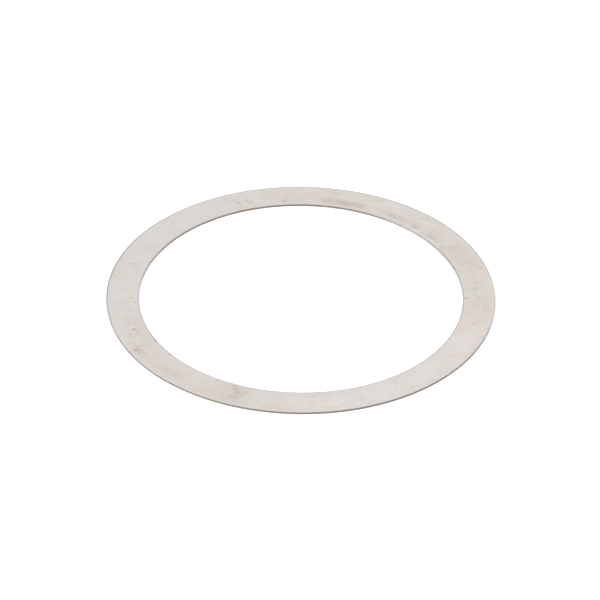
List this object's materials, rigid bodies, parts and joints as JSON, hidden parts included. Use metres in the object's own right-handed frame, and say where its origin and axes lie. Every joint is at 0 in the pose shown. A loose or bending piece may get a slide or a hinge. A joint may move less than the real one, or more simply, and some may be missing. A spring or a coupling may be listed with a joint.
{
  "type": "bottom bracket spacer",
  "caption": "Thin flat steel ring that slips over the thread of a bottom bracket cup and packs its flange out from the frame shell.",
  "frame": {"origin": "centre of the bore on the lower face, the face that the ring lies on", "axes": "+Z along the bore axis, from the sharp-edged lower face to the upper face with its rolled-over edges; +X and +Y are free, because the ring is a body of revolution"},
  "size_m": [0.042, 0.042, 0.0003],
  "materials": {
    "cold_rolled_steel": "bright cold-rolled sheet, unpainted, faintly stained"
  },
  "bodies": {
    "root": {"spacer_ring": "cold_rolled_steel"}
  },
  "joints": []
}
